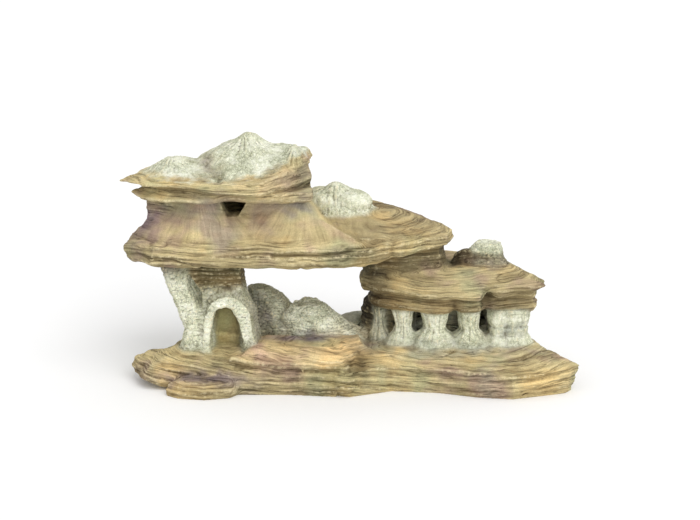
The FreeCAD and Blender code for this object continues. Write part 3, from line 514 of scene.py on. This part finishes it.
class Skin:
    """One fine surface over all the castings, so that carving and paint run on across the joints.
    It is cut back into the separate castings at the end."""

    def __init__(self, voxel):
        self.names = sorted(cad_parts)
        corners, faces, face_node = self.cad_faces()
        mesh = bpy.data.meshes.new("cad")
        mesh.from_pydata(corners, [], faces)
        rough = bpy.data.objects.new("cad", mesh)
        bpy.context.scene.collection.objects.link(rough)
        remesh = rough.modifiers.new("remesh", "REMESH")
        remesh.mode = "VOXEL"
        remesh.voxel_size = voxel * MM
        graph = bpy.context.evaluated_depsgraph_get()
        self.mesh = bpy.data.meshes.new_from_object(rough.evaluated_get(graph))
        bpy.data.objects.remove(rough)
        self.count = len(self.mesh.vertices)
        self.points = self.read("vertices", "co", self.count, 3) / MM
        self.quads = self.read("loops", "vertex_index", len(self.mesh.polygons), 4, np.int32)
        edges = self.read("edges", "vertices", len(self.mesh.edges), 2, np.int32)
        self.start = np.concatenate((edges[:, 0], edges[:, 1]))
        self.end = np.concatenate((edges[:, 1], edges[:, 0]))
        self.valence = np.maximum(np.bincount(self.start, minlength=self.count), 1)[:, None]
        tree = BVHTree.FromPolygons(corners, faces)
        nearest = [tree.find_nearest(Vector(point))[2] for point in self.points * MM]
        self.owner = face_node[nearest]

    def cad_faces(self):
        """The corners and faces of every CAD node in one list, and the number of each face's node."""
        corners, faces, face_node = [], [], []
        for number, name in enumerate(self.names):
            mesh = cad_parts[name].data
            base = len(corners)
            corners += [vertex.co.copy() for vertex in mesh.vertices]
            faces += [tuple(base + index for index in face.vertices) for face in mesh.polygons]
            face_node += [number] * len(mesh.polygons)
        for name, shares, radii in LUMPS:
            ball, ball_faces = rounded_lump(spot(name, shares) * MM, np.array(radii) * MM)
            faces += [tuple(len(corners) + index for index in face) for face in ball_faces]
            corners += ball
            face_node += [self.names.index(name)] * len(ball_faces)
        return corners, faces, np.array(face_node)

    def read(self, group, name, count, width, kind=np.float32):
        values = np.empty(count * width, kind)
        getattr(self.mesh, group).foreach_get(name, values)
        values = values.reshape(count, width)
        return values.astype(float) if kind is np.float32 else values

    def normals(self):
        self.mesh.vertices.foreach_set("co", (self.points * MM).astype(np.float32).ravel())
        self.mesh.update()
        return self.read("vertices", "normal", self.count, 3)

    def averaged(self, values, passes=1):
        """Each vertex's values replaced by the mean of its neighbours', so many times over."""
        for _ in range(passes):
            sums = [np.bincount(self.start, column[self.end], self.count) for column in values.T]
            values = np.column_stack(sums) / self.valence
        return values

    def smooth(self, passes):
        """Rounds the facets without shrinking the surface."""
        for _ in range(passes):
            for strength in (0.5, -0.52):
                self.points += strength * (self.averaged(self.points) - self.points)

    def fill_joints(self, share, passes):
        """Grows a soft fillet in the corners where castings meet, but not under the caps."""
        crisp = share[:, [self.names.index(name) for name in CRISP]].sum(axis=1)
        joint = ramp(1 - share.max(axis=1), 0.02, 0.2) * ramp(crisp, 0.3, 0.02)
        for _ in range(passes):
            normals = self.normals()
            inwards = np.einsum("ij,ij->i", self.averaged(self.points) - self.points, normals)
            self.points += (0.9 * joint * np.maximum(inwards, 0))[:, None] * normals

    def proud(self, passes):
        """How far each vertex stands out from the surface around it, in millimetres."""
        around = self.averaged(self.points, passes)
        return np.einsum("ij,ij->i", self.points - around, self.normals())


def one_hot(owner, width):
    table = np.zeros((len(owner), width))
    table[np.arange(len(owner)), owner] = 1
    return table


def styled(skin, share, rest):
    """The carving depth, layer measure, glaze and coat of every vertex, from the castings' styles."""
    depth, layer, pale = np.zeros((3, skin.count))
    coat = np.zeros((skin.count, 4))
    wander = rest[:, 2] + 2.5 * noise(rest / 9, 81) + 1.5 * noise(rest / 4, 82)
    along, _, rise = shares_of("upper_cap", rest).T
    wander -= GLAZE_DROP * ramp(along, 0.6, 0.95) * ramp(rise, -0.45, 0.1)
    for number, name in enumerate(skin.names):
        style = STYLES[name]
        low, high = corners(name)
        place = {"low": low, "high": high, "middle": (low + high) / 2}
        here = np.flatnonzero(share[:, number] > 0.01)
        amount = share[here, number]
        own_depth, own_layer = CARVE[style["kind"]](place, rest[here], style)
        depth[here] += amount * own_depth
        layer[here] += amount * own_layer
        rise = (wander[here] - low[2]) / (high[2] - low[2])
        pale[here] += amount * ramp(rise, *style.get("pale", NEVER))
        coat[here] += amount[:, None] * COATS[style["coat"]]
    return depth, layer, pale, coat


def brush_patches(rest, pale, coat):
    """Brushes the patches over the coats, with ragged outlines, and covers some of the glaze."""
    ragged = rest + RAGGED * np.column_stack([layered_noise(rest / 12, 2, seed) for seed in (91, 92, 93)])
    for name, shares, radii, colour, strength in PATCHES:
        amount = strength * blob(ragged, spot(name, shares), radii)
        coat += amount[:, None] * (COATS[colour] - coat)
        pale *= 1 - PATCH_COVER * amount


def make_skin():
    """The whole carved surface, with its painted values."""
    skin = Skin(VOXEL)
    width = len(skin.names)
    skin.owner = skin.averaged(one_hot(skin.owner, width), 3).argmax(axis=1)
    share = skin.averaged(one_hot(skin.owner, width), 12)
    skin.smooth(10)
    skin.fill_joints(share, 30)
    rest = skin.points.copy()
    depth, layer, pale, coat = styled(skin, share, rest)

    skin.points = rest + bend(rest)
    for name, path, radius, deep in GROOVES:
        depth -= deep * stroke(rest, spot(name, path), radius)
    grip = ramp(rest[:, 2], 0.2, 4)
    skin.points += (depth * grip)[:, None] * skin.normals()
    skin.points[:, 2] = np.maximum(skin.points[:, 2], 0)

    brush_patches(rest, pale, coat)
    spread, fan = fans(rest)
    skin.values = {
        "layer": layer,
        "spread": spread,
        "fan": fan,
        "pale": pale,
        "edge": np.clip(skin.proud(2) / 0.35, -1, 1),
        "swell": np.clip(skin.proud(14) / 1.6, -1, 1),
        "vale": np.clip(skin.proud(90) / 5.0, -1, 1),
    }
    skin.facing = skin.normals()
    # Painted shade: upright faces are painted darker than the tops, as if lit from above.
    front = ramp(skin.facing[:, 2], 0.45, 0.0)
    skin.coat = coat * (1 - UPRIGHT_PAINTED_SHADE * front)[:, None]
    return skin


def open_loops(edges):
    """Closed rings of vertices from the directed edges along the cut of a casting."""
    onward = {}
    for start, end in edges:
        onward.setdefault(start, []).append(end)
    loops = []
    while onward:
        first = next(iter(onward))
        loop, here = [], first
        while here in onward:
            loop.append(here)
            steps = onward[here]
            following = steps.pop()
            if not steps:
                del onward[here]
            here = following
        if len(loop) > 2:
            loops.append(loop)
    return loops


def build_piece(name, skin, quads, material, closed):
    """The mesh of one casting: its share of the surface, turned in where it meets its neighbours and, if
    closed, shut behind the cut."""
    used, local = np.unique(quads, return_inverse=True)
    local = local.reshape(-1, 4)
    start = local.ravel().astype(np.int64)
    end = np.roll(local, -1, axis=1).ravel().astype(np.int64)
    count = len(used)
    is_open = ~np.isin(start * count + end, end * count + start)
    cut = np.column_stack((start[is_open], end[is_open]))
    rim = np.unique(cut)
    inner = dict(zip(rim.tolist(), range(count, count + len(rim))))
    sides = [(b, a, inner[a], inner[b]) for a, b in cut.tolist()]
    caps = open_loops([(inner[b], inner[a]) for a, b in cut.tolist()]) if closed else []
    points = np.vstack((skin.points[used], skin.points[used][rim] - SKIRT * skin.facing[used][rim]))
    points[:, 2] = np.maximum(points[:, 2], 0)

    mesh = bpy.data.meshes.new(name)
    faces = local.tolist() + sides + caps
    sizes = np.array([len(face) for face in faces], np.int32)
    mesh.vertices.add(len(points))
    mesh.vertices.foreach_set("co", (points * MM).astype(np.float32).ravel())
    mesh.loops.add(int(sizes.sum()))
    mesh.loops.foreach_set("vertex_index", np.concatenate(faces).astype(np.int32))
    mesh.polygons.add(len(faces))
    mesh.polygons.foreach_set("loop_start", (np.cumsum(sizes) - sizes).astype(np.int32))
    mesh.update(calc_edges=True)
    mesh.validate()
    mesh.shade_smooth()
    source = np.concatenate((used, used[rim]))
    for label, values in skin.values.items():
        layer = mesh.attributes.new(label, "FLOAT", "POINT")
        layer.data.foreach_set("value", values[source].astype(np.float32))
    layer = mesh.attributes.new("coat", "FLOAT_COLOR", "POINT")
    layer.data.foreach_set("color", skin.coat[source].astype(np.float32).ravel())
    facing = np.vstack((skin.facing[used], np.zeros((len(rim), 3))))
    mesh.normals_split_custom_set_from_vertices(facing)
    mesh.materials.append(material)
    return mesh


def make_pieces(skin, materials):
    """Every casting as its own object, standing for its CAD node."""
    owners = np.sort(skin.owner[skin.quads], axis=1)
    face_owner = np.where(owners[:, 0] == owners[:, 1], owners[:, 0], owners[:, 2])
    for number, name in enumerate(skin.names):
        quads = skin.quads[face_owner == number]
        slot = STYLES[name]["slot"]
        mesh = build_piece(name + "_cast", skin, quads, materials[slot], name not in OPEN_CUTS)
        piece = bpy.data.objects.new(name + "_cast", mesh)
        bpy.context.scene.collection.objects.link(piece)
        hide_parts(name)
        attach(piece, "root")


# ---------------------------------------------------------------- materials

class Paint:
    """A short way to lay out shader nodes from left to right."""

    def __init__(self, name):
        self.material = bpy.data.materials.new(name)
        self.material.use_nodes = True
        self.tree = self.material.node_tree
        self.tree.nodes.clear()
        self.place = self.node("ShaderNodeNewGeometry").outputs["Position"]

    def node(self, kind, **settings):
        made = self.tree.nodes.new(kind)
        for name, value in settings.items():
            setattr(made, name, value)
        return made

    def join(self, value, socket):
        if isinstance(value, bpy.types.NodeSocket):
            self.tree.links.new(value, socket)
        else:
            socket.default_value = value

    def value(self, name, output="Fac"):
        return self.node("ShaderNodeAttribute", attribute_name=name).outputs[output]

    def maths(self, operation, first, second=0.0, clamp=False):
        made = self.node("ShaderNodeMath", operation=operation, use_clamp=clamp)
        self.join(first, made.inputs[0])
        self.join(second, made.inputs[1])
        return made.outputs[0]

    def spread(self, value, low, high, to_low=0.0, to_high=1.0):
        made = self.node("ShaderNodeMapRange")
        self.join(value, made.inputs["Value"])
        for name, number in (("From Min", low), ("From Max", high), ("To Min", to_low), ("To Max", to_high)):
            made.inputs[name].default_value = number
        return made.outputs["Result"]

    def shifted(self, vector, offset):
        moved = self.node("ShaderNodeVectorMath", operation="ADD")
        self.join(vector, moved.inputs[0])
        moved.inputs[1].default_value = (offset, offset, offset)
        return moved.outputs[0]

    def mottle(self, cells_per_metre, detail=3.0, roughness=0.55, vector=None, offset=0.0):
        made = self.node("ShaderNodeTexNoise")
        self.join(self.shifted(vector or self.place, offset), made.inputs["Vector"])
        made.inputs["Scale"].default_value = cells_per_metre
        made.inputs["Detail"].default_value = detail
        made.inputs["Roughness"].default_value = roughness
        return made.outputs["Fac"]

    def wandering(self, cells_per_metre, reach):
        """The place, pushed about by noise so that a pattern laid on it loses its regular look."""
        made = self.node("ShaderNodeTexNoise")
        self.join(self.place, made.inputs["Vector"])
        made.inputs["Scale"].default_value = cells_per_metre
        made.inputs["Detail"].default_value = 3.0
        push = self.node("ShaderNodeVectorMath", operation="SCALE")
        self.join(made.outputs["Color"], push.inputs[0])
        push.inputs["Scale"].default_value = reach
        moved = self.node("ShaderNodeVectorMath", operation="ADD")
        self.join(self.place, moved.inputs[0])
        self.join(push.outputs[0], moved.inputs[1])
        return moved.outputs[0]

    def crackle(self, cells_per_metre, vector=None):
        """Distance from the borders of small scattered cells, in cells."""
        made = self.node("ShaderNodeTexVoronoi", feature="DISTANCE_TO_EDGE")
        self.join(vector or self.place, made.inputs["Vector"])
        made.inputs["Scale"].default_value = cells_per_metre
        return made.outputs["Distance"]

    def blend(self, amount, first, second, mode="MIX"):
        made = self.node("ShaderNodeMix", data_type="RGBA", blend_type=mode)
        self.join(amount, made.inputs[0])
        self.join(first, made.inputs[6])
        self.join(second, made.inputs[7])
        return made.outputs[2]

    def ramp(self, amount, *stops):
        made = self.node("ShaderNodeValToRGB")
        self.join(amount, made.inputs[0])
        elements = made.color_ramp.elements
        while len(elements) < len(stops):
            elements.new(0.5)
        for element, (position, colour) in zip(elements, stops):
            element.position = position
            element.color = colour
        return made.outputs[0]


def grey(value, warm=1.0):
    """A multiplier for colours, warmer than neutral where warm is under 1."""
    return value, value * (0.5 + 0.5 * warm), value * warm, 1.0


def layer_vector(paint, measure, flat, tall):
    """A texture place stretched along lines: flat cells per metre, and tall cells per millimetre of the
    painted measure that runs across them."""
    parts = paint.node("ShaderNodeSeparateXYZ")
    paint.join(paint.place, parts.inputs[0])
    made = paint.node("ShaderNodeCombineXYZ")
    paint.join(paint.maths("MULTIPLY", parts.outputs[0], flat), made.inputs[0])
    paint.join(paint.maths("MULTIPLY", parts.outputs[1], flat), made.inputs[1])
    paint.join(paint.maths("MULTIPLY", paint.value(measure), tall), made.inputs[2])
    return made.outputs[0]


def rock_material(name, roughness, brightness, lined):
    """Cast resin painted as stone: a body coat in layers, a dark wash in the hollows that also paints shade
    into the deep recesses, a dry brush of light paint on the edges, and a pale crackled glaze where the
    casting's 'pale' values are high."""
    paint = Paint(name)
    level_lines = paint.mottle(1.0, 5.0, 0.62, layer_vector(paint, "layer", 26, 0.6))
    fan_lines = paint.mottle(1.0, 5.0, 0.62, layer_vector(paint, "spread", 34, 0.42))
    fan_lines = paint.spread(fan_lines, 0.0, 1.0, 0.28, 0.76)
    fan = paint.value("fan")
    lines = paint.maths("MULTIPLY", level_lines, paint.maths("SUBTRACT", 1.0, fan))
    lines = paint.maths("ADD", lines, paint.maths("MULTIPLY", fan_lines, fan))
    bands = paint.mottle(1.0, 2.0, 0.5, layer_vector(paint, "layer", 14, 0.12), 5.0)
    patches = paint.mottle(26, 3.0, 0.55, offset=2.0)
    grain = paint.mottle(850, 3.0, 0.6)
    speck = paint.mottle(330, 2.0, 0.6, offset=3.0)
    edge = paint.value("edge")

    tone = paint.maths("MULTIPLY", lines, 0.6)
    tone = paint.maths("ADD", tone, paint.maths("MULTIPLY", patches, 0.2))
    tone = paint.maths("ADD", tone, paint.maths("MULTIPLY", bands, 0.2))
    shade = paint.ramp(tone, (0.38, grey(0.42, 0.84)), (0.45, grey(0.78, 0.94)), (0.51, grey(1.03)),
                       (0.59, grey(1.3)))
    body = paint.blend(lined, paint.value("coat", "Color"), shade, "MULTIPLY")
    seams = paint.mottle(1.0, 3.0, 0.6, layer_vector(paint, "layer", 15, 0.34), 9.0)
    seams = paint.spread(paint.maths("ABSOLUTE", paint.maths("SUBTRACT", seams, 0.5)), 0.022, 0.004)
    seams = paint.maths("MULTIPLY", seams, paint.maths("SUBTRACT", 1.0, fan))
    body = paint.blend(paint.maths("MULTIPLY", seams, 0.6 * lined), body,
                       paint.blend(1.0, body, linear(126, 116, 104), "MULTIPLY"))
    hue = paint.mottle(17, 3.0, 0.6, offset=7.0)
    body = paint.blend(paint.spread(hue, 0.52, 0.64, 0.0, 0.9), body, MAUVE_TINT, "MULTIPLY")
    body = paint.blend(paint.spread(hue, 0.48, 0.36, 0.0, 0.9), body, ORANGE_TINT, "MULTIPLY")
    olive = paint.mottle(23, 2.0, 0.6, offset=11.0)
    body = paint.blend(paint.spread(olive, 0.52, 0.66, 0.0, 0.9), body, MOSS_TINT, "MULTIPLY")

    clouds = paint.mottle(70, 4.0, 0.62, offset=13.0)
    pale_tone = paint.maths("MULTIPLY", clouds, 0.55)
    pale_tone = paint.maths("ADD", paint.maths("MULTIPLY", speck, 0.45), pale_tone)
    glaze = paint.ramp(pale_tone, (0.32, linear(180, 184, 154)), (0.47, linear(215, 218, 192)),
                       (0.63, linear(244, 245, 228)))
    glaze = paint.blend(1.0, glaze, (brightness, brightness, brightness, 1.0), "MULTIPLY")
    crackle = paint.crackle(380, paint.wandering(95, 0.012))
    worn = paint.spread(clouds, 0.4, 0.6, 0.6, 0.1)
    cracked = paint.maths("MULTIPLY", paint.spread(crackle, 0.12, 0.02), worn)
    glaze = paint.blend(cracked, glaze, linear(132, 131, 104))
    body = paint.blend(paint.value("pale"), body, glaze)

    # Darkening in the hollows: partly the ornament's brown wash, partly painted shade that darkens the deep
    # recesses as if shade fell there; it is weaker on the glaze.
    hollow = paint.spread(edge, -0.1, -0.8, 0.0, 0.62)
    wide = paint.spread(paint.value("swell"), -0.05, -0.8, 0.0, 0.55)
    deep = paint.spread(paint.value("vale"), -0.15, -0.9, 0.0, 0.5)
    deep = paint.maths("MULTIPLY", deep, paint.spread(paint.value("pale"), 0.0, 1.0, 1.0, 0.15))
    wash_and_painted_shade = paint.maths("MAXIMUM", hollow, paint.maths("MAXIMUM", wide, deep))
    body = paint.blend(wash_and_painted_shade, body, paint.blend(1.0, body, linear(130, 118, 102), "MULTIPLY"))
    brushed = paint.maths("MULTIPLY", paint.spread(edge, 0.1, 0.8), paint.spread(speck, 0.4, 0.6, 0.0, 0.55))
    body = paint.blend(brushed, body, linear(230, 216, 174))
    tint = paint.node("ShaderNodeVectorMath", operation="SCALE")
    paint.join(body, tint.inputs[0])
    paint.join(paint.spread(grain, 0.3, 0.7, 0.84, 1.12), tint.inputs["Scale"])

    relief = paint.maths("ADD", lines, paint.maths("MULTIPLY", grain, 0.35))
    cells = paint.maths("MULTIPLY", paint.spread(crackle, 0.0, 0.12), paint.value("pale"))
    relief = paint.maths("ADD", relief, paint.maths("MULTIPLY", cells, 0.2))
    relief = paint.maths("SUBTRACT", relief, paint.maths("MULTIPLY", seams, 0.4))
    bump = paint.node("ShaderNodeBump")
    bump.inputs["Strength"].default_value = 0.75
    bump.inputs["Distance"].default_value = 0.0011
    paint.join(relief, bump.inputs["Height"])
    shader = paint.node("ShaderNodeBsdfPrincipled")
    paint.join(tint.outputs[0], shader.inputs["Base Color"])
    paint.join(paint.spread(grain, 0.3, 0.7, roughness + 0.1, roughness - 0.12), shader.inputs["Roughness"])
    shader.inputs["Specular IOR Level"].default_value = 0.22
    paint.join(bump.outputs[0], shader.inputs["Normal"])
    output = paint.node("ShaderNodeOutputMaterial")
    paint.join(shader.outputs[0], output.inputs["Surface"])
    return paint.material


# Each record slot's roughness, the brightness of its pale glaze and the strength of its painted lines.
FINISHES = {
    "sandstone_base": (0.82, 1.0, 1.0),
    "sandstone_ledge": (0.8, 1.0, 1.0),
    "sandstone_caps": (0.8, 1.0, 1.0),
    "pale_mounds": (0.86, 1.0, 1.0),
    "pale_pillars": (0.86, 1.1, 1.0),
    "pale_columns": (0.84, 1.12, 1.0),
    "shadowed_rock": (0.88, 1.0, 1.0),
    "grotto_plaster": (0.72, 1.0, 0.3),
}


# ---------------------------------------------------------------- stage, light and camera

def make_stage():
    """A plain pale floor, soft light from above on the right, and a pale sky all round."""
    mesh = bpy.data.meshes.new("floor")
    mesh.from_pydata([(-9, -9, 0), (9, -9, 0), (9, 9, 0), (-9, 9, 0)], [], [(0, 1, 2, 3)])
    floor = bpy.data.objects.new("floor", mesh)
    bpy.context.scene.collection.objects.link(floor)
    paint = Paint("floor_white")
    shader = paint.node("ShaderNodeBsdfDiffuse")
    tone = paint.ramp(paint.mottle(3.0, 2.0), (0.3, linear(252, 252, 252)), (0.7, linear(254, 254, 254)))
    paint.join(tone, shader.inputs["Color"])
    output = paint.node("ShaderNodeOutputMaterial")
    paint.join(shader.outputs[0], output.inputs["Surface"])
    mesh.materials.append(paint.material)

    world = bpy.data.worlds.new("studio")
    bpy.context.scene.world = world
    world.use_nodes = True
    background = world.node_tree.nodes["Background"]
    background.inputs["Color"].default_value = (1.0, 1.0, 1.0, 1.0)
    background.inputs["Strength"].default_value = 0.75

    lamps = (("key", (0.5, -0.75, 1.1), 45, 1.05), ("fill", (0.4, -1.0, 0.3), 40, 0.9))
    for name, direction, softness, power in lamps:
        light = bpy.data.lights.new(name, "SUN")
        light.angle = math.radians(softness)
        light.energy = power
        lamp = bpy.data.objects.new(name, light)
        lamp.rotation_euler = (-Vector(direction)).to_track_quat("-Z", "Y").to_euler()
        bpy.context.scene.collection.objects.link(lamp)


def make_camera():
    """A long lens in front of the ornament, a little above it."""
    centre = Vector((0.0, 0.0, LOOK_HEIGHT))
    tilt = math.radians(CAMERA_TILT)
    back = Vector((0, -math.cos(tilt), math.sin(tilt)))
    up = Vector((0, math.sin(tilt), math.cos(tilt)))
    camera = bpy.data.objects.new("camera", bpy.data.cameras.new("camera"))
    camera.data.lens = LENS
    camera.data.sensor_width = SENSOR_WIDTH
    camera.location = centre + CAMERA_DISTANCE * back
    aim = centre + 0.0079 * up + Vector((0.0009, 0, 0))
    camera.rotation_euler = (aim - camera.location).to_track_quat("-Z", "Y").to_euler()
    camera.data.clip_start = 0.05
    camera.data.clip_end = 50
    bpy.context.scene.collection.objects.link(camera)
    bpy.context.scene.camera = camera


make_camera()
make_stage()
bpy.context.scene.view_settings.view_transform = "Standard"
make_pieces(make_skin(), {slot: rock_material(slot, *finish) for slot, finish in FINISHES.items()})
